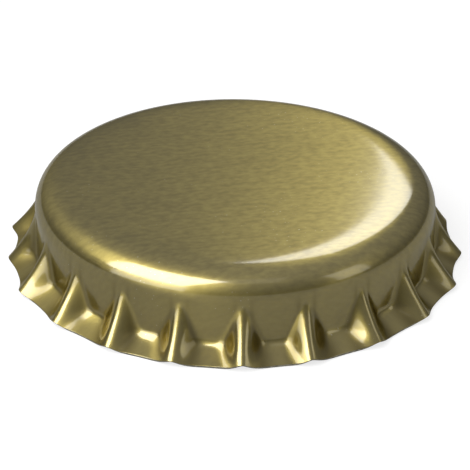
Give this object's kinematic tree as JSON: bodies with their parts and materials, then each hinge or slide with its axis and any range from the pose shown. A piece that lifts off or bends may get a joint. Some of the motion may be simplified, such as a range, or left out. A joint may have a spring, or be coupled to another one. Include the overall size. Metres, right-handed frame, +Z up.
{
  "type": "bottle cap",
  "caption": "Pry-off bottle cap with a flat panel, a rounded shoulder and a skirt fluted into 21 teeth, and a soft liner that seals on a bottle's lip.",
  "frame": {"origin": "on the cap's axis, in the plane that the rim stands on", "axes": "+Z up along the cap's axis, out of the panel; -Y points along the crest of one tooth"},
  "size_m": [0.032, 0.0319, 0.006],
  "materials": {
    "crown_shell": "gold-lacquered tinplate, finely brushed in one direction",
    "sealing_liner": "soft milky sealing compound, moulded in place"
  },
  "bodies": {
    "root": {"crown_shell": "crown_shell", "sealing_liner": "sealing_liner"}
  },
  "joints": []
}
